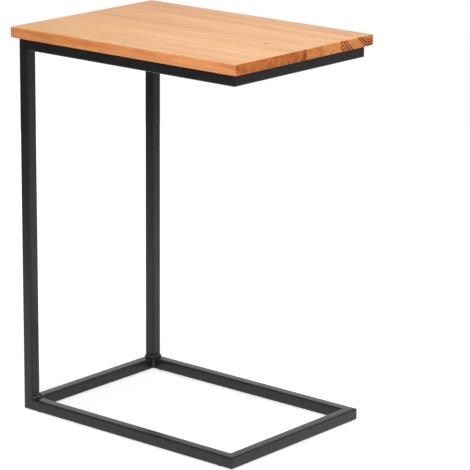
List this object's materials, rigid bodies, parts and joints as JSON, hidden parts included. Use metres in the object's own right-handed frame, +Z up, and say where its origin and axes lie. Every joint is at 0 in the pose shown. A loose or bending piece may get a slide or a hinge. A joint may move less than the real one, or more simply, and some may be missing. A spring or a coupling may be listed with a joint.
{
  "type": "c-shaped side table",
  "caption": "C-shaped side table: a solid wood top on a welded square-tube steel frame whose base slides under a seat.",
  "frame": {"origin": "on the floor, under the centre of the top", "axes": "+X along the arms of the C from the posts to the open end, +Y across the table, +Z up"},
  "size_m": [0.5, 0.36, 0.685],
  "materials": {
    "wood": "oiled, satin, edge-glued boards",
    "frame": "matt black fine-texture powder coat",
    "fasteners": "zinc plated",
    "glides": "moulded black plastic"
  },
  "bodies": {
    "root": {"top_board_1": "wood", "top_board_2": "wood", "top_board_3": "wood", "top_board_4": "wood", "top_board_5": "wood", "top_board_6": "wood", "top_board_7": "wood", "top_board_8": "wood", "base_left_rail": "frame", "base_right_rail": "frame", "left_post": "frame", "right_post": "frame", "top_left_rail": "frame", "top_right_rail": "frame", "base_front_rail": "frame", "base_rear_rail": "frame", "top_front_rail": "frame", "top_rear_rail": "frame", "left_post_foot_weld": "frame", "left_post_head_weld": "frame", "right_post_foot_weld": "frame", "right_post_head_weld": "frame", "base_front_left_weld": "frame", "base_front_right_weld": "frame", "top_front_left_weld": "frame", "top_front_right_weld": "frame", "fixing_tab_welds": "frame", "fixing_tab_rear_left": "frame", "fixing_tab_rear_right": "frame", "fixing_tab_front_left": "frame", "fixing_tab_front_right": "frame", "top_screws": "fasteners", "top_washers": "fasteners", "glide_rear_left": "glides", "glide_rear_right": "glides", "glide_front_left": "glides", "glide_front_right": "glides"}
  },
  "joints": []
}
